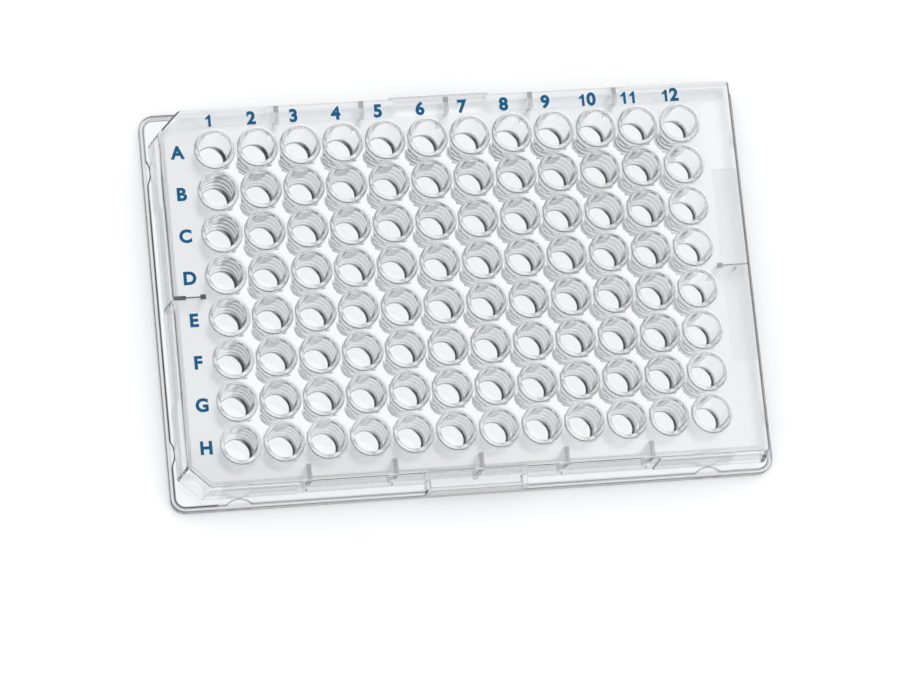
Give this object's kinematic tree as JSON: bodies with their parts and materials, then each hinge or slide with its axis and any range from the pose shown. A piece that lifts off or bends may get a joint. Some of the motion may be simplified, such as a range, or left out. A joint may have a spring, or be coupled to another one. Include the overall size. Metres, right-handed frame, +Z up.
{
  "type": "well plate",
  "caption": "Clear moulded plate with a grid of round flat-bottomed wells, raised rims, a skirt on a low flange and two cut corners.",
  "frame": {"origin": "middle of the underside, where the skirt rests", "axes": "+Z up out of the wells, +X along the columns away from the two cut corners, +Y towards the first row"},
  "size_m": [0.1278, 0.0854, 0.0143],
  "materials": {
    "clear_plastic": "clear gloss, hazy along the margin"
  },
  "bodies": {
    "root": {"well_plate": "clear_plastic"}
  },
  "joints": []
}
